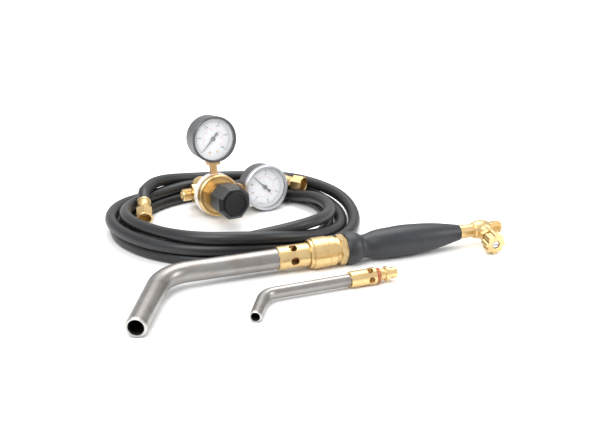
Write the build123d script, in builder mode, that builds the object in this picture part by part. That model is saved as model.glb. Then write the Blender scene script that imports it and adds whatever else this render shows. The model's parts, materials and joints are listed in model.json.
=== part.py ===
from build123d import *
import os
from math import cos, pi, radians, sin, tan

# Air-fuel gas torch outfit: a hand torch with a bent burner tip in its quick coupler, a smaller
# spare tip, a coiled gas hose with a swivel nut at each end, and a two-gauge regulator.
# Millimetres, +Z up, floor at z = 0.  The torch lies along X with its burner towards -X.

os.makedirs("parts", exist_ok=True)

# ---------------------------------------------------------------- driving dimensions
torch_x = 2.64               # torch stations are measured from here
torch_y = -65.18
torch_z = 17.3               # height of the torch axis above the floor
valve_tilt = 7.5             # the valve spindle points to -Y and this many degrees down

# main tip
main_turn = 62.0             # bend of the tube, degrees
main_corner_x = -165.5       # where the two straight runs of the tube would meet
main_leg = 110.0             # from that corner to the mouth
main_droop = 3.6             # how far the leg hangs below level, degrees
main_tube_radius = 11.0
main_tube_bore = 9.0
main_mouth_bore = 8.1
main_bend_radius = 45.0
main_mixer_radius = 12.6
main_mixer_front = -42.5
main_air_hole = 4.6
main_air_hole_x = -26.0
main_mixer_end = -5.0

# spare tip
spare_turn = 58.0
spare_corner = Vector(-75.26, -128.98, 9.23)
spare_heading = 2.0
spare_leg = 47.0
spare_droop = 4.2
spare_tube_radius = 6.35
spare_tube_bore = 5.1
spare_mouth_bore = 4.5
spare_bend_radius = 20.0
spare_mixer_radius = 8.5
spare_mixer_front = 92.8     # measured along the tip from its corner
spare_mixer_end = 121.3
spare_air_hole = 3.2
spare_air_hole_x = 114.8
air_holes = 5

# quick-connect plug, the same on both tips
collar_radius = 9.1
collar_length = 6.9
plug_length = 24.6
lock_groove_radius = 5.8
lock_ring_radius = 7.85
nipple_radius = 6.1

# coupler on the handle
coupler_front = -3.0
sleeve_front = -8.0
sleeve_rear = 21.5
shoulder_front = 22.0
shoulder_rear = 26.0
ball_radius = 2.2
ball_count = 6
lock_nut_across_flats = 28.6
lock_nut_rear = 34.0

# handle
grip_rear = 170.0
handle_tube_radius = 7.6
handle_tube_front = 46.0
valve_x = 197.0              # where the spindle axis crosses the torch axis
valve_half_length = 10.0
inlet_end = 221.0

# gas thread, 9/16 inch by 18 per inch
gas_thread_radius = 7.14
gas_thread_pitch = 1.411
gas_thread_depth = 0.75
gas_bore = 2.5

# valve knob
knob_inner = 24.0
knob_outer = 37.0
knob_lobes = 8
spindle_radius = 2.9

# regulator
regulator_centre = Vector(-49.36, 112.32, 28.65)
regulator_heading = 5.0      # turned from -Y towards +X, degrees
regulator_rise = 8.0         # knob end raised, degrees
flange_radius = 24.5
flange_depth = 14.0
block_radius = 16.0
block_rear = -38.0
bonnet_flats = 33.0
bonnet_front = 13.0
bonnet_neck_radius = 13.8
bonnet_neck_front = 38.0
port_station = -8.5
outlet_station = -26.0
cap_rear = 22.0
cap_front = 54.0
cap_flats = 35.0
screw_radius = 4.0           # pressure adjusting screw
cylinder_gauge_reach = 66.0  # from regulator axis to gauge centre
delivery_gauge_reach = 61.0
gauge_radius = 27.0
needle_zero = 135.0          # lower left of the dial, degrees from its top
gauge_front = 13.0
gauge_rear = -15.0

# hose
hose_radius = 6.75
coil_centre = (-47.76, 75.32)
coil_half_length = 145.0
coil_half_width = 116.0
coil_hole_centre = (-52.36, 77.32)
coil_hole_half_length = 106.0
coil_hole_half_width = 98.0
coil_height = 41.0
gauge_pocket = (-4.76, 106.32)     # room in the ring behind the delivery gauge
gauge_pocket_radius = 60.0
coil_segments = 12           # hairline cuts keep the ring open for collision
first_cut = 4.0              # direction of the first cut, degrees
hairline = 0.3
saddle_height = 11.5         # of the segment that end fitting b lies on
end_a_mouth = Vector(-139.36, 104.32, 14.0)
end_a_aim = Vector(-0.20, -0.88, -0.43)
end_b_mouth = Vector(62.64, 126.32, 22.5)
end_b_aim = Vector(0.643, -0.766, 0.0)
fitting_length = 28.0
hose_nut_flats = 17.5


# ---------------------------------------------------------------- helpers
def station(frame, along, up=0.0, side=0.0):
    """Point at the given distances along a frame's own axes."""
    return frame.origin + frame.x_dir * along + frame.y_dir * up + frame.z_dir * side


def across(frame, along, angle=0.0):
    """Plane square to a frame's axis, looking along it, its x at an angle from the frame's y."""
    out = frame.y_dir * cos(radians(angle)) + frame.z_dir * sin(radians(angle))
    return Plane(origin=station(frame, along), x_dir=out, z_dir=frame.x_dir)


def radial(frame, along, angle=0.0):
    """Plane on a frame's axis that faces straight out at an angle from the frame's y."""
    out = frame.y_dir * cos(radians(angle)) + frame.z_dir * sin(radians(angle))
    return Plane(origin=station(frame, along), x_dir=frame.x_dir, z_dir=out)


def turn(frame, outline, mode=Mode.ADD):
    """Turned solid about a frame's x axis in the open BuildPart, from (along, radius) points."""
    with BuildSketch(frame) as profile:
        with BuildLine():
            Polyline(*outline, close=True)
        make_face()
    revolve(profile.sketch, axis=Axis(frame.origin, frame.x_dir), mode=mode)


def turned(frame, outline):
    """A piece that is nothing but one turned solid."""
    with BuildPart() as piece:
        turn(frame, outline)
    return piece


def ring_outline(start, end, outer, inner):
    """Outline of a plain ring, or of a plain rod if inner is zero."""
    return [(start, inner), (start, outer), (end, outer), (end, inner)]


def thread_outline(start, end, radius):
    """Ridges of a gas thread from start to end, as (along, radius) points."""
    ridges = int(abs(end - start) / gas_thread_pitch)
    step = (end - start) / ridges
    points = []
    for ridge in range(ridges):
        points.append((start + ridge * step, radius - gas_thread_depth))
        points.append((start + (ridge + 0.4) * step, radius))
        points.append((start + (ridge + 0.6) * step, radius))
    points.append((end, radius - gas_thread_depth))
    return points


def drill(frame, along, angle, start, depth, radius):
    """Drill a round hole outwards from a frame's axis."""
    with BuildSketch(radial(frame, along, angle).offset(start)) as hole:
        Circle(radius)
    extrude(hole.sketch, amount=depth, mode=Mode.SUBTRACT)


def write(piece, name):
    """Label a finished piece and write it."""
    piece.part.label = name
    export_step(piece.part, f"parts/{name}.step")


# ---------------------------------------------------------------- frames
torch = Plane(origin=(torch_x, torch_y, torch_z), x_dir=(1, 0, 0), z_dir=(0, 0, 1))
valve_aim = Vector(0, -cos(radians(valve_tilt)), -sin(radians(valve_tilt)))
valve = Plane(origin=(torch_x + valve_x, torch_y, torch_z), x_dir=valve_aim, z_dir=(1, 0, 0))

regulator_aim = Vector(
    sin(radians(regulator_heading)) * cos(radians(regulator_rise)),
    -cos(radians(regulator_heading)) * cos(radians(regulator_rise)),
    sin(radians(regulator_rise)),
)
regulator_side = Vector(-cos(radians(regulator_heading)), -sin(radians(regulator_heading)), 0)
regulator = Plane(origin=regulator_centre, x_dir=regulator_aim, z_dir=regulator_side)


def tip_frame(corner, heading, droop):
    """Frame at a tip's corner: x back along the mixer, y towards the side the leg points to."""
    along = Vector(cos(radians(heading)), sin(radians(heading)), 0)
    level = Vector(sin(radians(heading)), -cos(radians(heading)), 0)
    down = Vector(0, 0, -1)
    lean = level * cos(radians(droop)) + down * sin(radians(droop))
    return Plane(origin=corner, x_dir=along, z_dir=along.cross(lean))


main = tip_frame(Vector(torch_x + main_corner_x, torch_y, torch_z), 0.0, main_droop)
spare = tip_frame(spare_corner, spare_heading, spare_droop)


# ---------------------------------------------------------------- handle
with BuildPart() as grip:
    with BuildSketch(torch):
        with BuildLine():
            front_edge = Line((lock_nut_rear, handle_tube_radius + 0.1), (lock_nut_rear, 16.4))
            collar = ThreePointArc(front_edge @ 1, (42.0, 17.6), (50.0, 15.0))
            palm = Spline(
                collar @ 1, (54.0, 12.9), (66.0, 14.7), (84.0, 16.6), (98.0, 17.15),
                (121.0, 16.2), (145.0, 13.5), (162.0, 10.2), (grip_rear, 8.6),
            )
            Polyline(palm @ 1, (grip_rear, handle_tube_radius + 0.1), front_edge @ 0)
        make_face()
    revolve(axis=Axis(torch.origin, torch.x_dir))
write(grip, "grip")

tube_rear = valve_x - valve_half_length + 2
handle_tube = turned(torch, ring_outline(handle_tube_front, tube_rear, handle_tube_radius, 5.0))
write(handle_tube, "handle_tube")

# quick coupler: the body holds the plug, six balls lock it, the sleeve slides back to free it
plug_start = main_mixer_end + collar_length
ball_x = plug_start + 8.8
nose_radius = 10.25
with BuildPart() as coupler_body:
    turn(torch, [
        (coupler_front, collar_radius + 0.1), (coupler_front, nose_radius - 0.6),
        (coupler_front + 0.6, nose_radius), (shoulder_front, nose_radius),
        (shoulder_front, 14.0), (shoulder_rear, 14.0), (shoulder_rear, handle_tube_radius),
        (handle_tube_front, handle_tube_radius), (handle_tube_front, 4.95), (60.0, 4.95),
        (60.0, gas_bore), (27.0, gas_bore), (27.0, nipple_radius + 0.05), (17.6, nipple_radius + 0.05),
        (17.6, 8.05), (plug_start + 0.1, 8.05), (plug_start + 0.1, collar_radius + 0.1),
    ])
    for ball in range(ball_count):
        drill(torch, ball_x, ball * 360 / ball_count, 7.0, 4.0, ball_radius + 0.05)
write(coupler_body, "coupler_body")

with BuildPart() as coupler_balls:
    for ball in range(ball_count):
        seat = radial(torch, ball_x, ball * 360 / ball_count)
        seat = seat.offset(lock_groove_radius + ball_radius + 0.06)
        with Locations(seat.origin):
            Sphere(ball_radius)
write(coupler_balls, "coupler_balls")

with BuildPart() as coupler_sleeve:
    turn(torch, [
        (sleeve_front, main_mixer_radius + 0.6), (sleeve_front, 14.6), (sleeve_front + 1.0, 15.4),
        (-4.6, 15.4), (-4.0, 16.8), (12.4, 16.8), (13.2, 16.1), (sleeve_rear - 0.6, 16.1),
        (sleeve_rear, 15.5), (sleeve_rear, 14.1), (15.0, 14.1), (15.0, nose_radius + 0.1),
        (ball_x - 2.4, nose_radius + 0.1), (ball_x - 2.4, 12.6), (ball_x - 6.6, 12.6),
        (ball_x - 7.4, nose_radius + 0.1), (coupler_front - 0.4, nose_radius + 0.1),
        (coupler_front - 0.4, main_mixer_radius + 0.6),
    ])
write(coupler_sleeve, "coupler_sleeve")

# the return spring is drawn at its closed length, so the sleeve's travel stays clear of it
with BuildPart() as coupler_spring:
    coils = 3
    wire = 0.45
    for coil in range(coils):
        with BuildSketch(torch):
            with Locations((shoulder_front - wire - 0.05 - coil * 1.8 * wire, 12.2)):
                Circle(wire)
        revolve(axis=Axis(torch.origin, torch.x_dir))
write(coupler_spring, "coupler_spring")

with BuildPart() as coupler_lock_nut:
    with BuildSketch(across(torch, shoulder_rear)):
        RegularPolygon(lock_nut_across_flats / 2, 6, major_radius=False)
        Circle(handle_tube_radius + 0.05, mode=Mode.SUBTRACT)
    extrude(amount=lock_nut_rear - shoulder_rear)
    bevel_start = lock_nut_across_flats / 2 + 0.3
    turn(torch, [
        (shoulder_rear, handle_tube_radius), (shoulder_rear, bevel_start),
        (shoulder_rear + 1.2, bevel_start + 2.1), (lock_nut_rear - 1.2, bevel_start + 2.1),
        (lock_nut_rear, bevel_start), (lock_nut_rear, handle_tube_radius),
    ], mode=Mode.INTERSECT)
write(coupler_lock_nut, "coupler_lock_nut")

# ---------------------------------------------------------------- gas valve
body_front = valve_x - valve_half_length
body_rear = valve_x + valve_half_length
with BuildPart() as valve_body:
    with BuildSketch(torch):
        with BuildLine():
            Polyline((tube_rear, 0), (tube_rear, 7.65), (body_front, 7.65), (body_front, 8.6))
            ThreePointArc((body_front, 8.6), (valve_x - 1, 10.4), (body_rear, 7.4))
            nipple = Polyline((body_rear, 7.4), (body_rear + 1.6, 6.2), (body_rear + 3.0, 6.2))
            ridges = Polyline(*thread_outline(body_rear + 3.0, inlet_end - 1.2, gas_thread_radius))
            Line(nipple @ 1, ridges @ 0)
            Polyline(ridges @ 1, (inlet_end, 5.9), (inlet_end, 4.6), (inlet_end - 3.5, 0), (tube_rear, 0))
        make_face()
    revolve(axis=Axis(torch.origin, torch.x_dir))
    turn(valve, ring_outline(0, 13.0, 7.4, 0))
    turn(torch, ring_outline(tube_rear - 1, inlet_end, gas_bore, 0), mode=Mode.SUBTRACT)
    turn(valve, [
        (-3.1, 0), (-0.6, 2.55), (3.0, 3.0), (7.0, 3.0), (7.0, 4.6), (14.0, 4.6), (14.0, 0),
    ], mode=Mode.SUBTRACT)
write(valve_body, "valve_body")

valve_packing = turned(valve, ring_outline(7.1, 10.4, 4.55, spindle_radius + 0.05))
write(valve_packing, "valve_packing")

with BuildPart() as packing_nut:
    turn(valve, [
        (10.5, spindle_radius + 0.05), (10.5, 4.5), (13.1, 4.5), (13.1, 5.0), (19.5, 5.0),
        (19.5, spindle_radius + 0.05),
    ])
    with BuildSketch(across(valve, 13.1)):
        RegularPolygon(6.9, 6, major_radius=False)
        Circle(4.9, mode=Mode.SUBTRACT)
    extrude(amount=5.6)
write(packing_nut, "packing_nut")

valve_stem = turned(valve, [
    (-2.9, 0), (-0.5, 2.45), (2.8, spindle_radius), (knob_inner + 1, spindle_radius),
    (knob_inner + 1, 2.2), (knob_outer - 5, 2.2), (knob_outer - 5, 0),
])
write(valve_stem, "valve_stem")

with BuildPart() as valve_knob:
    with BuildSketch(across(valve, knob_inner + 2)):
        Circle(9.9)
        with PolarLocations(9.3, knob_lobes):
            Circle(2.9)
    extrude(amount=knob_outer - knob_inner - 2, taper=2)
    fillet(valve_knob.faces().sort_by(Axis(valve.origin, valve.x_dir))[-1].edges(), 1.1)
    turn(valve, ring_outline(knob_inner, knob_inner + 2, 7.2, 0))
    with BuildSketch(across(valve, knob_inner - 1)):
        Circle(2.25)
    extrude(amount=knob_outer - knob_inner + 2, mode=Mode.SUBTRACT)
    with BuildSketch(across(valve, knob_inner - 1)):
        Circle(spindle_radius + 0.05)
    extrude(amount=2.05, mode=Mode.SUBTRACT)
    with BuildSketch(across(valve, knob_outer - 2.4)):
        Circle(4.6)
    extrude(amount=4, mode=Mode.SUBTRACT)
write(valve_knob, "valve_knob")

with BuildPart() as knob_screw:
    turn(valve, [
        (knob_outer - 4.9, 0), (knob_outer - 4.9, 2.15), (knob_outer - 2.3, 2.15),
        (knob_outer - 2.3, 4.1), (knob_outer - 0.9, 4.1), (knob_outer - 0.4, 3.4), (knob_outer - 0.4, 0),
    ])
    with BuildSketch(across(valve, knob_outer - 1.3)):
        Rectangle(1.0, 10.0)
    extrude(amount=2, mode=Mode.SUBTRACT)
write(knob_screw, "knob_screw")


# ---------------------------------------------------------------- burner tips
def burner_tube(frame, bend_angle, leg, radius, bore, mouth_bore, bend_radius, rear):
    """Bent steel tube with a thickened, bevelled mouth; rear is its end in the mixer."""
    aim = frame.x_dir * -cos(radians(bend_angle)) + frame.y_dir * sin(radians(bend_angle))
    mouth = frame.origin + aim * leg
    back = station(frame, rear)
    tangent = bend_radius * tan(radians(bend_angle / 2))
    leave = station(frame, tangent)
    arrive = frame.origin + aim * tangent
    lip = mouth - aim * 4
    with BuildPart() as piece:
        with BuildLine() as route:
            first = Line(back, leave)
            bend = TangentArc(leave, arrive, tangent=first % 1)
            Line(bend @ 1, mouth)
        with BuildSketch(Plane(origin=back, z_dir=frame.x_dir * -1)):
            Circle(radius)
            Circle(bore, mode=Mode.SUBTRACT)
        sweep(path=route.wires()[0])
        chamfer(piece.faces().sort_by(Axis(mouth, aim))[-1].outer_wire().edges(), radius * 0.11)
        with BuildSketch(Plane(origin=lip, z_dir=aim)):
            Circle(bore + 0.1)
            Circle(mouth_bore, mode=Mode.SUBTRACT)
        extrude(amount=3.6)
    return piece


def tip_plug(frame, start, shank):
    """Quick-connect plug: the given shank outline, then seal groove, lock groove, ring and nipple."""
    end = start + plug_length
    return turned(frame, [
        *shank, (start, 6.3), (start + 4.4, 6.3), (start + 4.4, 7.5), (start + 5.0, 7.5),
        (start + 6.6, 6.6),
        (start + 6.6, lock_groove_radius), (start + 11.0, lock_groove_radius),
        (start + 11.0, lock_ring_radius - 0.9), (start + 11.9, lock_ring_radius),
        (start + 14.4, lock_ring_radius), (start + 15.3, lock_ring_radius - 0.9),
        (start + 15.3, nipple_radius - 0.3), (end - 5.5, nipple_radius - 0.3),
        (end - 5.2, nipple_radius), (end - 1.2, nipple_radius), (end, nipple_radius - 1.2),
        (end, 2.05),
    ])


def tip_seal(frame, start):
    """Rubber ring in the plug's seal groove."""
    with BuildPart() as piece:
        with BuildSketch(frame):
            with Locations((start + 2.4, 6.35)):
                SlotOverall(3.3, 3.1)
            with Locations((start + 2.4, 5.3)):
                Rectangle(5, 2.0, mode=Mode.SUBTRACT)
        revolve(axis=Axis(frame.origin, frame.x_dir))
    return piece


def mixer(frame, outline, hole_at, hole_radius, wall):
    """Brass mixer barrel with its ring of round air holes."""
    with BuildPart() as piece:
        turn(frame, outline)
        for hole in range(air_holes):
            drill(frame, hole_at, hole * 360 / air_holes, wall * 0.4, wall, hole_radius)
    return piece


def jet(frame, base, length, radius, shank):
    """Gas jet screwed into the front of the plug, with its fine bore."""
    return turned(frame, [
        (base + shank, 0.4), (base + shank, 2.0), (base, 2.0), (base, radius),
        (base - length * 0.55, radius), (base - length, radius * 0.45), (base - length, 0.4),
    ])


def swirler(frame, front, rear, radius):
    """Bladed flame holder that spins the mixture inside the tube."""
    blades = 6
    twist = 24.0
    with BuildPart() as piece:
        for blade in range(blades):
            for step in range(2):
                along = front if step == 0 else rear
                angle = blade * 360 / blades + step * twist
                with BuildSketch(across(frame, along)):
                    with Locations(Rotation(0, 0, angle)):
                        with Locations((radius / 2, 0)):
                            Rectangle(radius, 0.7)
            loft()
        with BuildSketch(across(frame, front)):
            Circle(radius * 0.28)
        extrude(amount=rear - front)
    return piece


# main tip, in the coupler
main_offset = -main_corner_x           # from torch stations to stations along the tip
tube_seat = main_mixer_front + 11.5
write(
    burner_tube(
        main, main_turn, main_leg, main_tube_radius, main_tube_bore, main_mouth_bore,
        main_bend_radius, tube_seat + main_offset - 0.1,
    ),
    "main_tip_tube",
)
write(
    mixer(
        main,
        [
            (main_mixer_front + main_offset, main_tube_radius + 0.05),
            (main_mixer_front + main_offset, main_mixer_radius - 0.5),
            (main_mixer_front + main_offset + 0.5, main_mixer_radius),
            (main_mixer_end + main_offset - 0.5, main_mixer_radius),
            (main_mixer_end + main_offset, main_mixer_radius - 0.5),
            (main_mixer_end + main_offset, main_tube_radius + 0.05),
            (main_mixer_end + main_offset - 8.0, main_tube_radius + 0.05),
            (main_mixer_end + main_offset - 8.0, main_tube_radius - 0.8),
            (tube_seat + main_offset, main_tube_radius - 0.8),
            (tube_seat + main_offset, main_tube_radius + 0.05),
        ],
        main_air_hole_x + main_offset, main_air_hole, main_mixer_radius,
    ),
    "main_tip_mixer",
)
shank_start = main_mixer_end - 7.9 + main_offset
collar_start = main_mixer_end + main_offset
write(
    tip_plug(main, plug_start + main_offset, [
        (shank_start, 2.05), (shank_start, main_tube_radius), (collar_start, main_tube_radius),
        (collar_start, collar_radius), (plug_start + main_offset, collar_radius),
    ]),
    "main_tip_plug",
)
write(tip_seal(main, plug_start + main_offset), "main_tip_seal")
write(jet(main, main_mixer_end - 8.0 + main_offset, 15.0, 4.2, 6.0), "main_tip_jet")
write(swirler(main, 100.0, 111.0, main_tube_bore - 0.1), "main_tip_swirler")

# spare tip, lying beside the torch
spare_plug = spare_mixer_end
write(
    burner_tube(
        spare, spare_turn, spare_leg, spare_tube_radius, spare_tube_bore, spare_mouth_bore,
        spare_bend_radius, spare_mixer_front + 11.9,
    ),
    "spare_tip_tube",
)
write(
    mixer(
        spare,
        [
            (spare_mixer_front, spare_tube_radius + 0.05), (spare_mixer_front, spare_mixer_radius - 0.4),
            (spare_mixer_front + 0.4, spare_mixer_radius),
            (spare_air_hole_x - 0.6, spare_mixer_radius), (spare_air_hole_x, collar_radius),
            (spare_mixer_end - 0.4, collar_radius), (spare_mixer_end, collar_radius - 0.4),
            (spare_mixer_end, 6.5), (spare_mixer_end - 3.0, 6.5), (spare_mixer_end - 3.0, 6.1),
            (spare_mixer_front + 12.0, 6.1), (spare_mixer_front + 12.0, spare_tube_radius + 0.05),
        ],
        spare_air_hole_x, spare_air_hole, collar_radius,
    ),
    "spare_tip_mixer",
)
write(
    tip_plug(spare, spare_plug, [
        (spare_plug - 2.9, 2.05), (spare_plug - 2.9, 6.45), (spare_plug, 6.45),
    ]),
    "spare_tip_plug",
)
write(tip_seal(spare, spare_plug), "spare_tip_seal")
write(jet(spare, spare_plug - 3.0, 9.0, 3.0, 6.0), "spare_tip_jet")
write(swirler(spare, 78.0, 85.0, spare_tube_bore - 0.1), "spare_tip_swirler")

# ---------------------------------------------------------------- regulator
with BuildPart() as regulator_body:
    turn(regulator, [
        (block_rear, 0), (block_rear, block_radius - 1.5), (block_rear + 1.5, block_radius),
        (-flange_depth - 3, block_radius), (-flange_depth, flange_radius - 2.5),
        (-flange_depth + 1.2, flange_radius), (0, flange_radius), (0, 18.0), (-3.5, 18.0), (-3.5, 0),
    ])
    # valve chamber from the front, inlet thread from the rear
    with BuildSketch(across(regulator, -30.0)):
        Circle(5.0)
    extrude(amount=30.0, mode=Mode.SUBTRACT)
    with BuildSketch(across(regulator, block_rear)):
        Circle(5.05)
    extrude(amount=8.1, mode=Mode.SUBTRACT)
    # gauge ports: above, and on the side away from the outlet
    for angle in (0.0, -90.0):
        drill(regulator, port_station, angle, 16.5, 9.0, 4.55)
        drill(regulator, port_station, angle, 4.0, 14.0, 1.4)
    # outlet port on the side
    drill(regulator, outlet_station, 90.0, 8.0, 9.0, 5.05)
    drill(regulator, outlet_station, 90.0, 4.0, 5.0, 2.5)
write(regulator_body, "regulator_body")

with BuildPart() as label_band:
    turn(regulator, ring_outline(-flange_depth + 2.0, -2.6, flange_radius + 0.35, flange_radius + 0.02))
    for angle in (0.0, -90.0):
        drill(regulator, port_station, angle, 20.0, 10.0, 5.4)
write(label_band, "regulator_label_band")

with BuildPart() as bonnet:
    turn(regulator, [
        (0, 21.2), (0, flange_radius), (4.6, flange_radius), (5.8, flange_radius - 1.2),
        (5.8, 21.8), (4.2, 20.4), (4.2, bonnet_neck_radius), (bonnet_neck_front, bonnet_neck_radius),
        (bonnet_neck_front, screw_radius + 0.1), (34.0, screw_radius + 0.1), (34.0, 11.0),
        (3.0, 11.0), (3.0, 16.0), (0.9, 16.0),
        (0.9, 21.2),
    ])
    with BuildSketch(across(regulator, 4.2)):
        RegularPolygon(bonnet_flats / 2, 8, major_radius=False, rotation=22.5)
        Circle(bonnet_neck_radius - 0.5, mode=Mode.SUBTRACT)
    extrude(amount=bonnet_front - 4.2)
write(bonnet, "bonnet")

diaphragm = turned(regulator, ring_outline(0.02, 0.85, 21.1, 0))
write(diaphragm, "diaphragm")
diaphragm_plate = turned(regulator, ring_outline(0.9, 2.2, 10.0, 0))
write(diaphragm_plate, "diaphragm_plate")

with BuildPart() as adjusting_spring:
    turns = 6
    wire = 1.3
    for coil in range(turns):
        with BuildSketch(regulator):
            with Locations((2.3 + wire + coil * 3.15, 8.2)):
                Circle(wire)
        revolve(axis=Axis(regulator.origin, regulator.x_dir))
write(adjusting_spring, "adjusting_spring")

spring_button = turned(regulator, [
    (24.6, 0), (24.6, 9.6), (27.0, 9.6), (27.0, 5.0), (28.6, 5.0), (28.6, 2.2), (28.0, 0),
])
write(spring_button, "spring_button")

adjusting_screw = turned(regulator, [
    (28.2, 0), (28.8, 2.0), (29.0, screw_radius), (cap_front - 1.6, screw_radius), (cap_front - 1.6, 0),
])
write(adjusting_screw, "adjusting_screw")

cap_face = across(regulator, cap_rear)
with BuildPart() as adjusting_knob:
    with BuildSketch(cap_face):
        RegularPolygon(cap_flats / 2, 8, major_radius=False, rotation=22.5)
    extrude(amount=cap_front - cap_rear - 4, taper=-2.0)
    with BuildSketch(across(regulator, cap_front - 4)):
        RegularPolygon(cap_flats / 2 + 1.0, 8, major_radius=False, rotation=22.5)
    extrude(amount=4, taper=40)
    turn(regulator, ring_outline(cap_front - 4, cap_front + 5.0, 13.4, 0))
    with BuildSketch(across(regulator, cap_front + 0.5)):
        with PolarLocations(13.4, 30):
            Circle(0.55)
    extrude(amount=6, mode=Mode.SUBTRACT)
    turn(regulator, ring_outline(cap_front + 3.4, cap_front + 6, 11.0, 0), mode=Mode.SUBTRACT)
    with BuildSketch(cap_face):
        Circle(bonnet_neck_radius + 0.35)
    extrude(amount=26.0, mode=Mode.SUBTRACT)
    with BuildSketch(cap_face):
        Circle(screw_radius + 0.05)
    extrude(amount=cap_front - cap_rear - 1.5, mode=Mode.SUBTRACT)
write(adjusting_knob, "adjusting_knob")

seat_nozzle = turned(regulator, [
    (-20.0, 1.9), (-20.0, 3.4), (-19.0, 4.95), (-11.0, 4.95), (-11.0, 1.9),
])
write(seat_nozzle, "seat_nozzle")
poppet = turned(regulator, [
    (-25.0, 0), (-25.0, 2.0), (-23.4, 2.0), (-23.4, 4.0), (-20.6, 4.0), (-20.1, 3.2), (-20.1, 1.1),
    (-0.05, 1.1), (-0.05, 0),
])
write(poppet, "poppet")
with BuildPart() as poppet_spring:
    for coil in range(5):
        with BuildSketch(regulator):
            with Locations((-24.6 - coil * 1.1, 3.1)):
                Circle(0.45)
        revolve(axis=Axis(regulator.origin, regulator.x_dir))
write(poppet_spring, "poppet_spring")

# outlet: hexagon, neck and male gas thread with its cone seat
outlet = Plane(
    origin=station(regulator, outlet_station), x_dir=regulator.z_dir, z_dir=regulator.x_dir,
)
with BuildPart() as outlet_fitting:
    turn(outlet, [
        (8.2, gas_bore), (8.2, 5.0), (block_radius + 0.1, 5.0), (block_radius + 0.1, 7.6),
        (22.6, 7.6), (22.6, 6.2), (24.0, 6.2),
        *thread_outline(24.0, 33.8, gas_thread_radius), (35.0, 5.9), (35.0, 4.6), (32.4, gas_bore),
    ])
    with BuildSketch(across(outlet, block_radius + 0.1)):
        RegularPolygon(9.5, 6, major_radius=False)
        Circle(5.5, mode=Mode.SUBTRACT)
    extrude(amount=6.0)
write(outlet_fitting, "outlet_fitting")

inlet_stem = turned(regulator, [
    (-30.1, gas_bore), (-30.1, 5.0), (block_rear, 5.0), (block_rear - 0.02, 8.0), (block_rear - 3.0, 8.0),
    (block_rear - 3.0, 5.0), (-48.0, 5.0), (-48.0, 8.2), (-51.0, 8.2), (-57.0, 5.2), (-59.0, 3.6),
    (-59.0, gas_bore),
])
write(inlet_stem, "inlet_stem")
inlet_filter = turned(regulator, ring_outline(-58.6, -50.0, gas_bore - 0.05, 0))
write(inlet_filter, "inlet_filter")
with BuildPart() as inlet_nut:
    with BuildSketch(regulator):
        with BuildLine():
            Polyline((-42.0, 5.1), (-42.0, 10.0), (-43.5, 12.2))
            ThreePointArc((-43.5, 12.2), (-50.5, 13.6), (-57.5, 12.4))
            Polyline(
                (-57.5, 12.4), (-59.0, 11.6), (-59.0, 10.6), (-47.9, 10.6), (-47.9, 5.1), (-42.0, 5.1),
            )
        make_face()
    revolve(axis=Axis(regulator.origin, regulator.x_dir))
write(inlet_nut, "inlet_nut")


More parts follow.
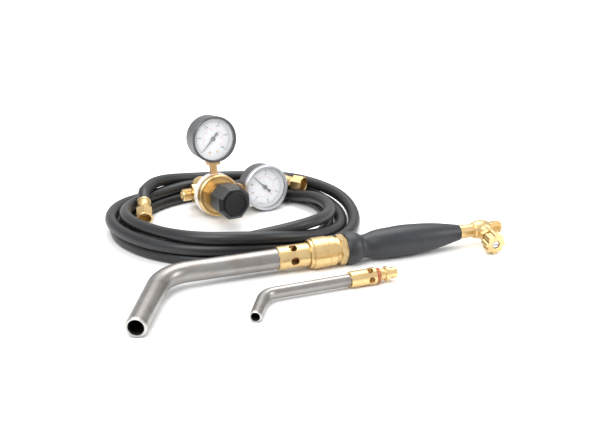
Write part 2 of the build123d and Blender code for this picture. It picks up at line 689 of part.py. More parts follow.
# ---------------------------------------------------------------- gauges
def gauge(name, angle, reach):
    """One dial gauge on the port at the given angle; its dial is upright outwards from the port."""
    port = radial(regulator, port_station, angle)
    frame = Plane(
        origin=port.origin + port.z_dir * reach, x_dir=regulator.x_dir,
        z_dir=regulator.x_dir.cross(port.z_dir),
    )
    case_radius = gauge_radius - 1.0
    with BuildPart() as case:
        turn(frame, [
            (gauge_rear, 0), (gauge_rear, case_radius - 3), (gauge_rear + 3, case_radius),
            (gauge_front - 5.0, case_radius), (gauge_front - 5.0, case_radius - 1.0),
            (gauge_rear + 3.2, case_radius - 1.0), (gauge_rear + 1.0, case_radius - 3.4),
            (gauge_rear + 1.0, 0),
        ])
        drill(frame, 0, 180, case_radius - 4, 8, 6.4)
    write(case, f"{name}_case")

    write(
        turned(frame, [
            (gauge_front - 6.5, case_radius + 0.05), (gauge_front - 6.5, gauge_radius - 0.3),
            (gauge_front - 5.5, gauge_radius), (gauge_front - 1.0, gauge_radius),
            (gauge_front, gauge_radius - 1.2), (gauge_front, gauge_radius - 2.4),
            (gauge_front - 1.6, gauge_radius - 3.0), (gauge_front - 2.0, gauge_radius - 3.0),
            (gauge_front - 2.0, case_radius - 0.8), (gauge_front - 4.9, case_radius - 0.8),
            (gauge_front - 4.9, case_radius + 0.05),
        ]),
        f"{name}_bezel",
    )
    write(turned(frame, ring_outline(gauge_front - 3.8, gauge_front - 2.1, case_radius - 0.9, 0)),
          f"{name}_lens")
    write(turned(frame, ring_outline(gauge_front - 8.6, gauge_front - 7.8, case_radius - 1.1, 1.1)),
          f"{name}_dial")

    # pointer at zero
    with BuildPart() as pointer:
        turn(frame, ring_outline(0.0, gauge_front - 5.0, 0.9, 0))
        turn(frame, ring_outline(gauge_front - 7.2, gauge_front - 5.4, 2.5, 0))
        with BuildSketch(across(frame, gauge_front - 6.8, needle_zero)):
            with BuildLine():
                Polyline(
                    (18.5, 0.15), (2, 0.8), (-4.5, 0.9), (-8.6, 2.2), (-8.6, -2.2), (-4.5, -0.9),
                    (2, -0.8), (18.5, -0.15), close=True,
                )
            make_face()
        extrude(amount=0.6)
    write(pointer, f"{name}_pointer")

    # movement: threaded stem, square shank, socket block, curved pressure tube and pointer bearing
    stem = radial(regulator, port_station, angle)
    with BuildPart() as movement:
        turn(Plane(origin=stem.origin, x_dir=stem.z_dir, z_dir=stem.x_dir), [
            (17.0, 1.2), (17.0, 4.5), (reach - 31.5, 4.5), (reach - 31.5, 5.0),
            (reach - 25.5, 5.0), (reach - 25.5, 4.0), (reach - 18.0, 4.0),
            (reach - 18.0, 1.2),
        ])
        with BuildSketch(stem.offset(reach - 31.0)):
            Rectangle(13.5, 13.5)
            Circle(2, mode=Mode.SUBTRACT)
        extrude(amount=3.8)
        with BuildSketch(stem.offset(reach - 20.0)):
            Rectangle(8.0, 8.0)
        extrude(amount=12.0)
        turn(frame, ring_outline(-4.0, -1.0, 5.0, 0))
        with BuildSketch(across(frame, -3.4, 180.0)):
            with BuildLine():
                outer = CenterArc((0, 0), 17.6, 0, 250)
                inner = CenterArc((0, 0), 14.8, 0, 250)
                Line(outer @ 0, inner @ 0)
                Line(outer @ 1, inner @ 1)
            make_face()
        extrude(amount=5.0)
        with BuildSketch(across(frame, -0.5)):
            Circle(1.0)
        extrude(amount=-4.5, mode=Mode.SUBTRACT)
    write(movement, f"{name}_movement")


gauge("cylinder_gauge", 0.0, cylinder_gauge_reach)
gauge("delivery_gauge", -90.0, delivery_gauge_reach)


# ---------------------------------------------------------------- hose and its end fittings
def hose_fitting(mouth, aim, letter):
    """Swivel nut and crimped stem; returns the fitting's frame, x towards the mouth."""
    frame = Plane(origin=mouth, x_dir=aim.normalized(), z_dir=aim.cross(Vector(0, 0, 1)))
    with BuildPart() as nut:
        with BuildSketch(across(frame, -13.5)):
            RegularPolygon(hose_nut_flats / 2, 6, major_radius=False)
        extrude(amount=12.5)
        turn(frame, [
            (-15.0, 0), (-15.0, 7.0), (-13.5, 8.4), (-13.4, 8.4), (-13.4, 8.0), (-1.2, 8.0), (-1.2, 9.6),
            (-0.6, 9.9), (0, 9.6), (0, 0),
        ])
        turn(frame, [
            (-16, 0), (-16, 4.3), (-11.0, 4.3), (-11.0, 6.6), (-8.1, 6.6),
            (-8.1, gas_thread_radius + 0.05), (-0.8, gas_thread_radius + 0.05), (0, 7.9), (1, 7.9),
            (1, 0),
        ], mode=Mode.SUBTRACT)
    write(nut, f"hose_nut_{letter}")
    write(
        turned(frame, [
            (-fitting_length, hose_radius + 0.05), (-fitting_length, 7.6), (-fitting_length + 0.6, 8.1),
            (-fitting_length + 2.4, 8.1), (-fitting_length + 3.0, 7.3), (-18.0, 7.3), (-16.6, 6.2),
            (-15.4, 5.6), (-15.4, 4.2), (-10.9, 4.2), (-10.9, 6.4), (-9.9, 6.4), (-8.2, 4.4),
            (-8.2, 2.6), (-19.5, 2.6), (-19.5, hose_radius + 0.05),
        ]),
        f"hose_ferrule_{letter}",
    )
    return frame


def hose_tail(frame, bends, letter):
    """Free hose between a fitting and the coil: straight runs joined by tangent arcs."""
    start = station(frame, -fitting_length + 8.0)
    corner = station(frame, -fitting_length - bends[0])
    points = [start, corner, *bends[1:]]
    radii = []
    for before, here, after in zip(points, points[1:], points[2:]):
        turn_angle = (here - before).get_angle(after - here)
        shorter = min((here - before).length, (after - here).length)
        radii.append(0.45 * shorter / tan(radians(turn_angle / 2)))
    print(f"hose_tail_{letter} radii", [round(radius) for radius in radii])
    with BuildPart() as piece:
        with BuildLine() as route:
            FilletPolyline(*points, radius=radii)
        with BuildSketch(Plane(origin=start, z_dir=(corner - start).normalized())):
            Circle(hose_radius)
        sweep(path=route.wires()[0])
    expected = route.wires()[0].length * pi * hose_radius**2
    print(f"hose_tail_{letter} volume", piece.part.volume, expected)
    write(piece, f"hose_tail_{letter}")


end_a = hose_fitting(end_a_mouth, end_a_aim, "a")
end_b = hose_fitting(end_b_mouth, end_b_aim, "b")
hose_tail(end_a, [14.0, Vector(-116.36, 169.32, 35.0)], "a")
hose_tail(end_b, [14.0, Vector(14.64, 169.32, 22.5)], "b")

# the coiled turns, as one ring; its segment under end fitting b is low
reach_out = 3 * coil_hole_half_length
last_cut = first_cut + 360 / coil_segments
with BuildPart() as hose_coil:
    with BuildSketch():
        with Locations(coil_centre):
            Ellipse(coil_half_length, coil_half_width)
        with Locations(coil_hole_centre):
            Ellipse(coil_hole_half_length, coil_hole_half_width, mode=Mode.SUBTRACT)
        with Locations(gauge_pocket):
            Circle(gauge_pocket_radius, mode=Mode.SUBTRACT)
    extrude(amount=coil_height)
    with BuildSketch(Plane.XY.offset(saddle_height)):
        with Locations(coil_hole_centre):
            Polygon(
                (0, 0),
                (reach_out * cos(radians(first_cut)), reach_out * sin(radians(first_cut))),
                (reach_out * cos(radians(last_cut)), reach_out * sin(radians(last_cut))),
                align=None,
            )
    extrude(amount=coil_height, mode=Mode.SUBTRACT)
    # room for the rear of that fitting in the next segment
    saddle = Plane(origin=end_b.origin, x_dir=end_b.x_dir, z_dir=(0, 0, 1))
    with BuildSketch(saddle.offset(saddle_height - end_b_mouth.Z)):
        with Locations((-24.0, 0)):
            Rectangle(60.0, 23.0)
    extrude(amount=coil_height, mode=Mode.SUBTRACT)
    with BuildSketch():
        with Locations(coil_hole_centre):
            with PolarLocations(coil_hole_half_length + 14.0, coil_segments, start_angle=first_cut):
                Rectangle(90.0, hairline)
    extrude(amount=coil_height, mode=Mode.SUBTRACT)
write(hose_coil, "hose_coil")
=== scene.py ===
import json
from math import cos, pi, radians, sin

import bmesh
import bpy
from bpy.props import FloatProperty, FloatVectorProperty, IntProperty, PointerProperty
from mathutils import Matrix, Vector


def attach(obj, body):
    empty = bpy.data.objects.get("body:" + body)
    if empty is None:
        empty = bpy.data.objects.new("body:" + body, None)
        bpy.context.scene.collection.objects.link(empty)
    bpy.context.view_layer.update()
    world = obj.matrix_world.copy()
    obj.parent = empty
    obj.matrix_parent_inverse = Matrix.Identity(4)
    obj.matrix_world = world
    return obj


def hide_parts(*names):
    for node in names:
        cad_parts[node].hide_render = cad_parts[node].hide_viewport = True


bl_info = {
    "name": "Gas torch kit dressing",
    "version": (1, 0, 0),
    "blender": (4, 5, 0),
    "location": "3D View > Sidebar > Torch Kit",
    "description": "Hose, dial printing and finishes for a gas torch kit",
    "category": "Object",
}

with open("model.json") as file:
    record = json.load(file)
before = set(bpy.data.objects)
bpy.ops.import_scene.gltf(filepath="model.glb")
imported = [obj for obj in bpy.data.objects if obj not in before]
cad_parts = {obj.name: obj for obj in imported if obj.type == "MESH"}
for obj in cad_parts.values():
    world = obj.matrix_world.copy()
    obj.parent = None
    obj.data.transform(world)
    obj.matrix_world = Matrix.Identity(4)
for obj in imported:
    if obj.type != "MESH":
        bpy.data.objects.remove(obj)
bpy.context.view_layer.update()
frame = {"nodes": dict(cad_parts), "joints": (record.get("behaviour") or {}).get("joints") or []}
NODES = frame["nodes"]
JOINTS = {joint["name"]: joint for joint in frame["joints"]}
MM = 0.001
UP = Vector((0, 0, 1))


def pivot(joint):
    """A hinge's own centre, in metres."""
    return Vector(JOINTS[joint]["pos_m"])


def aim(joint):
    """A joint's axis."""
    return Vector(JOINTS[joint]["axis"]).normalized()


TORCH_AXIS = aim("tip_swivel")
TORCH_CENTRE = pivot("tip_swivel")
VALVE_AXIS = aim("valve_turn")
VALVE_CENTRE = pivot("valve_turn")
VIEWER = -aim("cylinder_needle")          # the dials and the knob face this way
REGULATOR_CENTRE = pivot("cylinder_nut_turn")
NUT_A, NUT_A_AXIS = pivot("hose_nut_a_turn"), aim("hose_nut_a_turn")
NUT_B, NUT_B_AXIS = pivot("hose_nut_b_turn"), aim("hose_nut_b_turn")


def basis(x_axis, y_axis, origin):
    """Matrix that stands a shape made on X and Y at origin, with Z square to both."""
    z_axis = x_axis.cross(y_axis).normalized()
    turn = Matrix((x_axis.normalized(), y_axis.normalized(), z_axis)).transposed().to_4x4()
    return Matrix.Translation(origin) @ turn


# ------------------------------------------------------------------ settings
class HoseSettings(bpy.types.PropertyGroup):
    diameter: FloatProperty(name="Diameter", description="Outside of the hose", default=0.0135, unit="LENGTH")
    slack: FloatProperty(
        name="Turn allowance", description="How far control points stand outside the line they guide",
        default=1.0347,
    )
    colour: FloatVectorProperty(
        name="Rubber", description="Colour of the hose", subtype="COLOR", size=3, default=(0.0085, 0.009, 0.0105),
    )


class MetalSettings(bpy.types.PropertyGroup):
    brass: FloatVectorProperty(
        name="Brass", description="Bright brass", subtype="COLOR", size=3, default=(0.72, 0.53, 0.26),
    )
    brass_deep: FloatVectorProperty(
        name="Aged brass", description="Brass where it is darker", subtype="COLOR", size=3,
        default=(0.42, 0.27, 0.12),
    )
    steel: FloatVectorProperty(
        name="Steel", description="Brushed tube", subtype="COLOR", size=3, default=(0.30, 0.29, 0.28),
    )
    heat: FloatVectorProperty(
        name="Heat tint", description="Brown tint on the tubes", subtype="COLOR", size=3,
        default=(0.22, 0.185, 0.16),
    )


class DialSettings(bpy.types.PropertyGroup):
    sweep: FloatProperty(
        name="Sweep", description="Angle between the ends of a scale", subtype="ANGLE", default=radians(270),
    )
    steps: IntProperty(name="Steps", description="Numbered steps of the outer scale", default=5, min=2)
    radius: FloatProperty(
        name="Scale radius", description="Radius of the outer scale", default=0.0206, unit="LENGTH",
    )


class StudioSettings(bpy.types.PropertyGroup):
    floor: FloatVectorProperty(
        name="Floor", description="Floor colour", subtype="COLOR", size=3, default=(0.93, 0.93, 0.93),
    )
    light: FloatProperty(name="Light", description="Scale on all lamps", default=1.0, min=0.0)


# ------------------------------------------------------------------ materials
class Wire:
    """An output socket that can be used in sums; each sum adds its Math node."""

    def __init__(self, finish, socket):
        self.finish = finish
        self.socket = socket

    def sum(self, operation, *values):
        node = self.finish.add("ShaderNodeMath", {"operation": operation}, dict(enumerate(values)))
        return Wire(self.finish, node.outputs[0])

    def __add__(self, other):
        return self.sum("ADD", self, other)

    __radd__ = __add__

    def __mul__(self, other):
        return self.sum("MULTIPLY", self, other)

    __rmul__ = __mul__

    def __sub__(self, other):
        return self.sum("SUBTRACT", self, other)

    def __rsub__(self, other):
        return self.sum("SUBTRACT", other, self)

    def __truediv__(self, other):
        return self.sum("DIVIDE", self, other)

    def __gt__(self, other):
        return self.sum("GREATER_THAN", self, other)

    def __lt__(self, other):
        return self.sum("LESS_THAN", self, other)

    def clamped(self):
        return self.sum("MAXIMUM", self.sum("MINIMUM", self, 1.0), 0.0)


class Finish:
    """One material. Every node of it comes from add()."""

    def __init__(self, name, **surface):
        self.material = bpy.data.materials.new(name)
        self.material.use_nodes = True
        self.tree = self.material.node_tree
        self.shader = self.tree.nodes["Principled BSDF"]
        for label, value in surface.items():
            self.shader.inputs[label.replace("_", " ").title()].default_value = value

    def add(self, kind, settings=None, sockets=None):
        node = self.tree.nodes.new(kind)
        for label, value in (settings or {}).items():
            setattr(node, label, value)
        self.feed(node, sockets or {})
        return node

    def feed(self, node, sockets):
        for label, value in sockets.items():
            if isinstance(value, Wire):
                self.tree.links.new(value.socket, node.inputs[label])
            else:
                node.inputs[label].default_value = value

    def surface(self, **sockets):
        self.feed(self.shader, {label.replace("_", " ").title(): value for label, value in sockets.items()})

    def wire(self, node, output=0):
        return Wire(self, node.outputs[output])

    def place(self):
        return self.wire(self.add("ShaderNodeTexCoord"), "Object")

    def vector(self, operation, first, second=(0, 0, 0), output=0):
        node = self.add("ShaderNodeVectorMath", {"operation": operation}, {0: first, 1: second})
        return self.wire(node, output)

    def along(self, centre, axis):
        """Distance along an axis from a centre, in millimetres."""
        offset = self.vector("SUBTRACT", self.place(), tuple(centre))
        return self.vector("DOT_PRODUCT", offset, tuple(axis), "Value") / MM

    def away(self, centre, axis):
        """Distance from an axis, in millimetres."""
        offset = self.vector("SUBTRACT", self.place(), tuple(centre))
        across = self.vector("CROSS_PRODUCT", offset, tuple(axis))
        return self.vector("LENGTH", across, (0, 0, 0), "Value") / MM

    def mapped(self, axis, scale):
        """Coordinates with X along axis, stretched by scale."""
        turn = axis.rotation_difference(Vector((1, 0, 0))).to_euler()
        turned = self.add("ShaderNodeMapping", {}, {"Vector": self.place(), "Rotation": turn})
        return self.wire(self.add("ShaderNodeMapping", {}, {"Vector": self.wire(turned), "Scale": scale}))

    def noise(self, vector, scale, detail=3.0, roughness=0.55):
        node = self.add(
            "ShaderNodeTexNoise", {},
            {"Vector": vector, "Scale": scale, "Detail": detail, "Roughness": roughness},
        )
        return self.wire(node)

    def blend(self, factor, first, second):
        """Colour mix: first where factor is 0, second where it is 1."""
        node = self.add("ShaderNodeMix", {"data_type": "RGBA", "clamp_factor": True})
        self.feed(node, {0: factor})
        for index, colour in ((6, first), (7, second)):
            self.feed(node, {index: colour if isinstance(colour, Wire) else (*colour, 1.0)})
        return self.wire(node, 2)

    def bump(self, height, strength, distance=0.0002):
        node = self.add(
            "ShaderNodeBump", {}, {"Height": height, "Strength": strength, "Distance": distance},
        )
        self.surface(normal=self.wire(node))

    def ramp(self, value, low, high):
        """0 below low, 1 above high, straight between."""
        return ((value - low) / (high - low)).clamped()


def turned_metal(name, axis, light, deep, rough=0.24, marks=1.0, age=0.45):
    """Metal turned on a lathe about an axis: fine rings, soft mottling and a few darker patches."""
    finish = Finish(name, metallic=1.0)
    rings = finish.noise(finish.mapped(axis, (9000.0, 60.0, 60.0)), 1.0, 2.0)
    cloud = finish.noise(finish.place(), 90.0, 4.0)
    spots = finish.noise(finish.place(), 620.0, 3.0)
    tone = (finish.ramp(cloud, 0.42, 0.72) * age + finish.ramp(spots, 0.6, 0.8) * 0.2).clamped()
    finish.surface(
        base_color=finish.blend(tone, light, deep),
        roughness=rough + rings * (0.10 * marks) + cloud * 0.10,
    )
    finish.bump(rings + spots * 0.5, 0.10 * marks, 0.00008)
    return finish


def tube_metal(name, mouth, leg_axis, bore, settings):
    """Brushed tube with faint heat tint, a lighter band at the mouth painted as a highlight on its edge, and
    near-black painted shade inside the mouth.
    """
    finish = Finish(name, metallic=1.0)
    from_mouth = finish.along(mouth, leg_axis)
    off_axis = finish.away(mouth, leg_axis)
    grain = finish.noise(finish.mapped(TORCH_AXIS, (40.0, 1500.0, 1500.0)), 1.0, 3.0)
    grain_leg = finish.noise(finish.mapped(leg_axis, (40.0, 1500.0, 1500.0)), 1.0, 3.0)
    in_leg = finish.ramp(from_mouth, bore * 10.0, bore * 8.0)
    brushed = grain_leg * in_leg + grain * (1.0 - in_leg)
    cloud = finish.noise(finish.place(), 55.0, 4.0)
    stain = finish.noise(finish.mapped(TORCH_AXIS, (22.0, 120.0, 120.0)), 1.0, 4.0)
    tint = (finish.ramp(cloud, 0.4, 0.75) * 0.5 + finish.ramp(stain, 0.48, 0.72) * 0.5).clamped()
    metal = finish.blend(tint, settings.steel, settings.heat)
    # painted highlight: a light steel band over the last 1.5 mm at the mouth stands in for light catching the
    # tube's edge
    painted_rim_highlight = finish.ramp(from_mouth, 1.5, 0.9)
    metal = finish.blend(painted_rim_highlight * 0.7, metal, (0.62, 0.61, 0.59))
    # painted shade: the bore near the mouth is made near-black and not metallic, standing in for the shade inside
    # the tube
    painted_bore_shade = (off_axis < bore + 0.15) * (from_mouth > 0.35) * (from_mouth < bore * 6.0)
    finish.surface(
        base_color=finish.blend(painted_bore_shade, metal, (0.006, 0.005, 0.005)),
        metallic=1.0 - painted_bore_shade,
        roughness=0.27 + brushed * 0.16 + painted_bore_shade * 0.4,
    )
    finish.bump(brushed, 0.16, 0.00008)
    return finish


def rubber(name, colour, rough=0.46, grain=1800.0, strength=0.12, dust=0.25):
    """Black rubber or moulding: fine grain and a thin bloom of grey."""
    finish = Finish(name)
    fine = finish.noise(finish.place(), grain, 3.0)
    bloom = finish.noise(finish.place(), 70.0, 4.0)
    pale = tuple(channel * 1.9 + 0.006 for channel in colour)
    finish.surface(
        base_color=finish.blend(finish.ramp(bloom, 0.4, 0.75) * dust, colour, pale),
        roughness=rough + bloom * 0.10 + fine * 0.06,
    )
    finish.bump(fine, strength, 0.00015)
    return finish


def enamel(name, colour, rough=0.3):
    """Painted metal with a slight orange-peel surface."""
    finish = Finish(name)
    peel = finish.noise(finish.place(), 700.0, 2.0)
    cloud = finish.noise(finish.place(), 60.0, 3.0)
    finish.surface(
        base_color=finish.blend(cloud, colour, tuple(channel * 1.15 for channel in colour)),
        roughness=rough + peel * 0.08,
    )
    finish.bump(peel, 0.05, 0.0002)
    return finish


def plain(name, colour, rough, **surface):
    """Printed ink, dial paint or small trim, with a faint variation."""
    finish = Finish(name, **surface)
    cloud = finish.noise(finish.place(), 300.0, 2.0)
    finish.surface(
        base_color=finish.blend(cloud * 0.5, colour, tuple(channel * 0.92 for channel in colour)),
        roughness=rough + cloud * 0.05,
    )
    return finish


def window(name):
    """Clear dial window."""
    finish = Finish(name, alpha=0.10, roughness=0.04)
    smear = finish.noise(finish.place(), 160.0, 3.0)
    finish.surface(base_color=(0.95, 0.97, 0.98, 1.0), roughness=0.02 + smear * 0.05)
    return finish


def dress(names, finish):
    """Give CAD nodes a finish through their slots."""
    for name in names:
        node = NODES[name]
        for index in range(max(1, len(node.data.materials))):
            if len(node.data.materials) <= index:
                node.data.materials.append(finish.material)
            node.material_slots[index].material = finish.material


def piece(name, bm, body, finish):
    """Turn a bmesh into a finished piece that rides on a body."""
    bmesh.ops.recalc_face_normals(bm, faces=bm.faces)
    mesh = bpy.data.meshes.new(name)
    bm.to_mesh(mesh)
    bm.free()
    made = bpy.data.objects.new(name, mesh)
    bpy.context.scene.collection.objects.link(made)
    mesh.materials.append(finish.material)
    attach(made, body)
    return made


# ------------------------------------------------------------------ operators
class KIT_OT_stage(bpy.types.Operator):
    """Floor, soft lamps and camera"""

    bl_idname = "torch_kit.stage"
    bl_label = "Stage"

    def lamp(self, name, place, target, size, power, colour=(1, 1, 1)):
        data = bpy.data.lights.new(name, "AREA")
        data.shape, data.size = "SQUARE", size
        data.energy = power * bpy.context.scene.kit_studio.light
        data.color = colour
        made = bpy.data.objects.new(name, data)
        bpy.context.scene.collection.objects.link(made)
        made.location = place
        made.rotation_mode = "QUATERNION"
        made.rotation_quaternion = (Vector(target) - Vector(place)).to_track_quat("-Z", "Y")

    def execute(self, context):
        scene = context.scene
        bm = bmesh.new()
        bmesh.ops.create_grid(bm, x_segments=1, y_segments=1, size=12.0)
        mesh = bpy.data.meshes.new("floor")
        bm.to_mesh(mesh)
        bm.free()
        floor = bpy.data.objects.new("floor", mesh)
        scene.collection.objects.link(floor)
        ground = Finish("floor_paint", roughness=0.9)
        cloud = ground.noise(ground.place(), 4.0, 2.0)
        colour = tuple(scene.kit_studio.floor)
        ground.surface(base_color=ground.blend(cloud, colour, tuple(channel * 0.99 for channel in colour)))
        mesh.materials.append(ground.material)

        world = bpy.data.worlds.new("studio")
        scene.world = world
        world.use_nodes = True
        sky = world.node_tree.nodes["Background"]
        sky.inputs["Color"].default_value = (1.0, 1.0, 1.0, 1.0)
        sky.inputs["Strength"].default_value = 0.85

        middle = (0.0, 0.0, 0.03)
        self.lamp("key", (-0.9, -0.9, 1.5), middle, 1.0, 26.0)
        self.lamp("top", (0.35, 0.55, 1.6), middle, 1.4, 26.0)
        self.lamp("side", (1.4, -0.8, 0.7), middle, 0.7, 9.0)

        eye = bpy.data.cameras.new("camera")
        eye.sensor_width, eye.lens = 36.0, 76.26
        eye.clip_start, eye.clip_end = 0.05, 40.0
        camera = bpy.data.objects.new("camera", eye)
        scene.collection.objects.link(camera)
        camera.location = (-0.44642, -1.2224, 0.53755)
        camera.rotation_mode = "QUATERNION"
        camera.rotation_quaternion = Vector((0.32695, 0.87446, -0.35837)).to_track_quat("-Z", "Y")
        scene.camera = camera
        scene.view_settings.view_transform = "Standard"
        return {"FINISHED"}


# free ends of the hose, in millimetres
RISE_A = Vector((-127.0, 150.0, 32.0))
COIL_CENTRE = Vector((-51.8, 85.2, 0.0))
# radius and height of the hose every 30 degrees, clockwise from the end at the left rear
TURNS = (
    ((103, 32.5), (112.7, 20.8), (119, 19), (132, 22.5), (148.5, 17.5), (152, 6.8),
     (131, 6.8), (119, 6.8), (116, 6.8), (120, 6.8), (125, 6.8), (118, 6.8)),
    ((109, 6.8), (106, 6.8), (112, 6.8), (123, 6.8), (121, 6.8), (120, 6.8),
     (114.5, 6.8), (117, 20.3), (120, 20.3), (125, 20.3), (129, 20.3), (125, 16)),
    ((122, 7), (119.2, 6.8), (125.3, 6.8), (136.5, 6.8), (136, 6.8), (136, 6.8),
     (122.5, 19.5), (122, 34), (120, 34), (112, 30), (113.5, 27), (107, 20)),
    ((97, 18.6), (99.2, 18.5), (93, 14), (107, 6.8), (117, 21), (124, 24),
     (120, 33.5), (105.5, 28), (105, 16), (108.5, 14), (110, 10), (100, 6.8)),
    ((95, 6.8), (92.7, 6.8), (98, 15.5)),
)
FIRST_AZIMUTH, STEP_AZIMUTH = 120.0, -30.0


class KIT_OT_hose(bpy.types.Operator):
    """Coiled gas hose between its two end fittings"""

    bl_idname = "torch_kit.hose"
    bl_label = "Hose"

    def route(self, slack):
        points = [NUT_A - NUT_A_AXIS * 24 * MM, NUT_A - NUT_A_AXIS * 40 * MM, RISE_A * MM]
        azimuth = FIRST_AZIMUTH
        for turn in TURNS:
            for radius, height in turn:
                reach = radius * slack
                out = Vector((cos(radians(azimuth)) * reach, sin(radians(azimuth)) * reach, height))
                points.append((COIL_CENTRE + out) * MM)
                azimuth += STEP_AZIMUTH
        points += [NUT_B - NUT_B_AXIS * 52 * MM, NUT_B - NUT_B_AXIS * 24 * MM]
        return points

    def execute(self, context):
        settings = context.scene.kit_hose
        points = self.route(settings.slack)
        curve = bpy.data.curves.new("hose", "CURVE")
        curve.dimensions = "3D"
        line = curve.splines.new("NURBS")
        line.points.add(len(points) - 1)
        for control, point in zip(line.points, points):
            control.co = (*point, 1.0)
        line.order_u = 3
        line.use_endpoint_u = True
        curve.resolution_u = 10
        curve.bevel_depth = settings.diameter / 2
        curve.bevel_resolution = 5
        curve.use_fill_caps = True
        hose = bpy.data.objects.new("hose", curve)
        context.scene.collection.objects.link(hose)
        finish = rubber("hose_rubber", tuple(settings.colour), 0.34, 1500.0, 0.08, 0.3)
        curve.materials.append(finish.material)
        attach(hose, "hose")
        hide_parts("hose_coil", "hose_tail_a", "hose_tail_b")
        return {"FINISHED"}


class KIT_OT_metals(bpy.types.Operator):
    """Brass, steel and filter metal on the turned parts"""

    bl_idname = "torch_kit.metals"
    bl_label = "Metals"

    def execute(self, context):
        settings = context.scene.kit_metals
        bright, deep = tuple(settings.brass), tuple(settings.brass_deep)
        torch_brass = turned_metal("brass_torch", TORCH_AXIS, bright, deep)
        dress(
            ("handle_tube", "coupler_body", "coupler_sleeve", "coupler_lock_nut", "valve_body", "main_tip_mixer",
             "main_tip_plug", "spare_tip_mixer", "spare_tip_plug", "main_tip_swirler", "spare_tip_swirler"),
            torch_brass,
        )
        dress(
            ("packing_nut", "valve_stem", "valve_knob"),
            turned_metal("brass_valve", VALVE_AXIS, bright, deep, 0.26),
        )
        regulator_deep = (deep[0] * 0.9, deep[1] * 0.82, deep[2] * 0.7)
        dress(
            ("regulator_body", "bonnet", "inlet_stem", "inlet_nut", "seat_nozzle"),
            turned_metal("brass_regulator", VIEWER, bright, regulator_deep, 0.26),
        )
        side = UP.cross(VIEWER).normalized()
        dress(("outlet_fitting",), turned_metal("brass_outlet", side, bright, deep, 0.22))
        dress(
            ("cylinder_gauge_movement", "delivery_gauge_movement"),
            turned_metal("brass_brown", UP, (0.62, 0.40, 0.20), (0.40, 0.24, 0.11), 0.32),
        )
        dress(
            ("hose_nut_a", "hose_ferrule_a"),
            turned_metal("brass_end_a", NUT_A_AXIS, bright, deep, 0.30),
        )
        dress(
            ("hose_nut_b", "hose_ferrule_b"),
            turned_metal("brass_end_b", NUT_B_AXIS, bright, deep, 0.26),
        )
        dress(
            ("main_tip_jet", "spare_tip_jet", "inlet_filter"),
            turned_metal("copper_jet", TORCH_AXIS, (0.78, 0.40, 0.20), (0.52, 0.24, 0.10), 0.34),
        )
        dress(
            ("coupler_balls", "coupler_spring", "knob_screw", "diaphragm_plate",
             "adjusting_spring", "spring_button", "adjusting_screw", "poppet", "poppet_spring"),
            turned_metal("steel_parts", TORCH_AXIS, (0.62, 0.61, 0.59), (0.42, 0.40, 0.37), 0.28),
        )
        return {"FINISHED"}


class KIT_OT_tubes(bpy.types.Operator):
    """Brushed burner tubes with a painted highlight on the edge of the mouth and painted shade inside it"""

    bl_idname = "torch_kit.tubes"
    bl_label = "Burner tubes"

    def execute(self, context):
        settings = context.scene.kit_metals
        for name, corner, heading, droop, leg, bore in (
            ("main_tip", Vector((-162.86, -65.18, 17.3)), 0.0, 3.6, 110.0, 8.1),
            ("spare_tip", Vector((-75.26, -128.98, 9.23)), 2.0, 4.2, 47.0, 4.5),
        ):
            bend = radians(62.0 if name == "main_tip" else 58.0)
            along = Vector((cos(radians(heading)), sin(radians(heading)), 0))
            level = Vector((sin(radians(heading)), -cos(radians(heading)), 0))
            lean = level * cos(radians(droop)) - UP * sin(radians(droop))
            outwards = (-along * cos(bend) + lean * sin(bend)).normalized()
            mouth = (corner + outwards * leg) * MM
            finish = tube_metal(name + "_steel", mouth, -outwards, bore, settings)
            dress((name + "_tube",), finish)
        return {"FINISHED"}


class KIT_OT_mouldings(bpy.types.Operator):
    """Grip, knob, seals and gauge cases"""

    bl_idname = "torch_kit.mouldings"
    bl_label = "Grip, knob and cases"

    def execute(self, context):
        dress(("grip",), rubber("grip_rubber", (0.011, 0.0125, 0.017), 0.36, 1300.0, 0.08, 0.3))
        dress(("adjusting_knob",), rubber("knob_plastic", (0.010, 0.010, 0.011), 0.32, 900.0, 0.10, 0.3))
        dress(("valve_packing", "diaphragm"), rubber("seal_rubber", (0.03, 0.03, 0.03)))
        dress(("main_tip_seal", "spare_tip_seal"), rubber("ring_rubber", (0.34, 0.085, 0.04), 0.4))
        dress(
            ("cylinder_gauge_case", "delivery_gauge_case", "cylinder_gauge_bezel"),
            enamel("gauge_enamel", (0.055, 0.057, 0.062), 0.30),
        )
        dress(
            ("delivery_gauge_bezel",),
            turned_metal("gauge_rim", VIEWER, (0.62, 0.63, 0.66), (0.42, 0.43, 0.46), 0.26, age=0.2),
        )
        dress(("regulator_label_band",), enamel("band_foil", (0.80, 0.80, 0.78), 0.26))
        return {"FINISHED"}


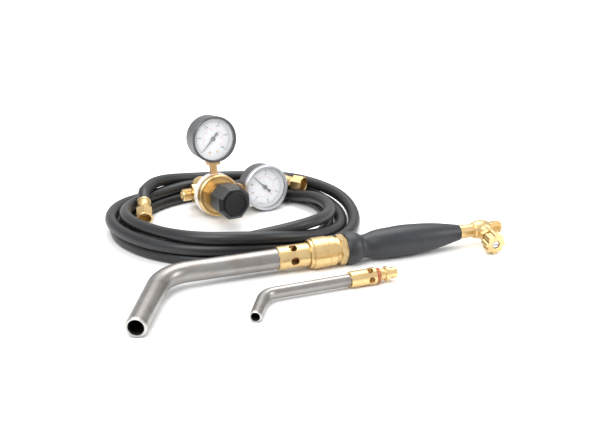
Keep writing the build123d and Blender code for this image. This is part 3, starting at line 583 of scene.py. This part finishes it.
class KIT_OT_dials(bpy.types.Operator):
    """Printed scales, windows and dial screws of both gauges"""

    bl_idname = "torch_kit.dials"
    bl_label = "Dials"

    INK = 0.06          # thickness of the printing, in millimetres

    def bar(self, bm, pose, angle, inner, outer, width):
        """One radial mark; angle is clockwise from the dial's top."""
        middle, length = (inner + outer) / 2, outer - inner
        turn = Matrix.Rotation(-angle, 4, "Z")
        shape = Matrix.Translation((0, middle, 0)) @ Matrix.Diagonal((width, length, self.INK, 1))
        bmesh.ops.create_cube(bm, size=1.0, matrix=pose @ turn @ shape)

    def arc(self, bm, pose, start, end, radius, width):
        """A thin printed arc made of short bars."""
        parts = 48
        step = (end - start) / parts
        for part in range(parts):
            turn = Matrix.Rotation(-(start + (part + 0.5) * step), 4, "Z")
            length = radius * abs(step) * 1.04
            shape = Matrix.Translation((0, radius, 0)) @ Matrix.Diagonal((length, width, self.INK, 1))
            bmesh.ops.create_cube(bm, size=1.0, matrix=pose @ turn @ shape)

    def figure(self, bm, pose, text, angle, radius, size):
        """An upright number on the dial."""
        data = bpy.data.curves.new("figure", "FONT")
        data.body, data.size = text, size
        data.align_x, data.align_y = "CENTER", "CENTER"
        data.extrude = self.INK / 2
        data.resolution_u = 2
        holder = bpy.data.objects.new("figure", data)
        bpy.context.scene.collection.objects.link(holder)
        graph = bpy.context.evaluated_depsgraph_get()
        mesh = bpy.data.meshes.new_from_object(holder.evaluated_get(graph))
        shift = Matrix.Translation((sin(angle) * radius, cos(angle) * radius, 0))
        mesh.transform(pose @ shift)
        bm.from_mesh(mesh)
        bpy.data.meshes.remove(mesh)
        bpy.data.objects.remove(holder)
        bpy.data.curves.remove(data)

    def execute(self, context):
        settings = context.scene.kit_dials
        black = plain("ink_black", (0.02, 0.02, 0.022), 0.5)
        red = plain("ink_red", (0.62, 0.10, 0.14), 0.5)
        dress(
            ("cylinder_gauge_dial", "delivery_gauge_dial"), plain("dial_white", (0.76, 0.765, 0.79), 0.42),
        )
        dress(("cylinder_gauge_pointer", "delivery_gauge_pointer"), enamel("pointer_black", (0.02, 0.02, 0.022)))
        dress(("cylinder_gauge_lens", "delivery_gauge_lens"), window("dial_window"))
        screw_metal = turned_metal("dial_screw_brass", VIEWER, (0.70, 0.48, 0.24), (0.45, 0.28, 0.12), 0.3)
        for gauge, joint, largest in (("cylinder_gauge", "cylinder_needle", 400), ("delivery_gauge", "delivery_needle", 60)):
            centre = pivot(joint)
            foot = REGULATOR_CENTRE + VIEWER * (centre - REGULATOR_CENTRE).dot(VIEWER)
            top = (centre - foot).normalized()
            face = max(
                (NODES[gauge + "_dial"].matrix_world @ vertex.co - centre).dot(VIEWER)
                for vertex in NODES[gauge + "_dial"].data.vertices
            )
            right = top.cross(VIEWER)
            pose = basis(right, top, centre + VIEWER * (face + 0.0001)) @ Matrix.Scale(MM, 4)
            start, end = -settings.sweep / 2, settings.sweep / 2
            radius = settings.radius / MM
            bm = bmesh.new()
            steps = settings.steps * 10
            for step in range(steps + 1):
                angle = start + (end - start) * step / steps
                length = 3.2 if step % 10 == 0 else (2.4 if step % 5 == 0 else 1.4)
                width = 0.5 if step % 10 == 0 else 0.22
                self.bar(bm, pose, angle, radius - length, radius, width)
            for step in range(settings.steps + 1):
                angle = start + (end - start) * step / settings.steps
                number = str(int(largest * step / settings.steps))
                self.figure(bm, pose, number, angle, radius - 5.0, 3.1)
            self.arc(bm, pose, start, end, radius, 0.18)
            piece(gauge + "_outer_scale", bm, "regulator", black)

            bm = bmesh.new()
            inner = radius * 0.60
            for step in range(31):
                angle = start + (end - start) * step / 30
                self.bar(bm, pose, angle, inner - (1.5 if step % 5 == 0 else 0.9), inner, 0.22)
            for step in range(1, 6):
                angle = start + (end - start) * step / 6
                self.figure(bm, pose, str(int(largest * step / 60) * 5), angle, inner - 2.6, 1.8)
            self.arc(bm, pose, start, end, inner, 0.14)
            piece(gauge + "_inner_scale", bm, "regulator", red)

            bm = bmesh.new()
            for side in (-1, 1):
                stand = pose @ Matrix.Translation((side * 4.7, -15.6, 0.35))
                bmesh.ops.create_cone(
                    bm, cap_ends=True, segments=24, radius1=1.35, radius2=1.15, depth=0.6, matrix=stand,
                )
            piece(gauge + "_dial_screws", bm, "regulator", screw_metal)
        return {"FINISHED"}


class KIT_PT_panel(bpy.types.Panel):
    """Everything that dresses the torch kit"""

    bl_idname = "KIT_PT_panel"
    bl_label = "Torch kit"
    bl_space_type = "VIEW_3D"
    bl_region_type = "UI"
    bl_category = "Torch Kit"

    def draw(self, context):
        for operator in OPERATORS:
            self.layout.operator(operator.bl_idname, text=operator.bl_label)
        for group in SETTINGS:
            holder = getattr(context.scene, group)
            for label in holder.bl_rna.properties.keys():
                if label not in ("rna_type", "name"):
                    self.layout.prop(holder, label)


OPERATORS = (KIT_OT_stage, KIT_OT_hose, KIT_OT_metals, KIT_OT_tubes, KIT_OT_mouldings, KIT_OT_dials)
SETTINGS = {
    "kit_hose": HoseSettings,
    "kit_metals": MetalSettings,
    "kit_dials": DialSettings,
    "kit_studio": StudioSettings,
}


def register():
    for group in SETTINGS.values():
        bpy.utils.register_class(group)
    for holder, group in SETTINGS.items():
        setattr(bpy.types.Scene, holder, PointerProperty(type=group))
    for operator in OPERATORS:
        bpy.utils.register_class(operator)
    bpy.utils.register_class(KIT_PT_panel)


def unregister():
    bpy.utils.unregister_class(KIT_PT_panel)
    for operator in reversed(OPERATORS):
        bpy.utils.unregister_class(operator)
    for holder, group in SETTINGS.items():
        delattr(bpy.types.Scene, holder)
        bpy.utils.unregister_class(group)


def main():
    register()
    for operator in OPERATORS:
        category, action = operator.bl_idname.split(".")
        getattr(getattr(bpy.ops, category), action)()


if __name__ == "__main__":
    main()
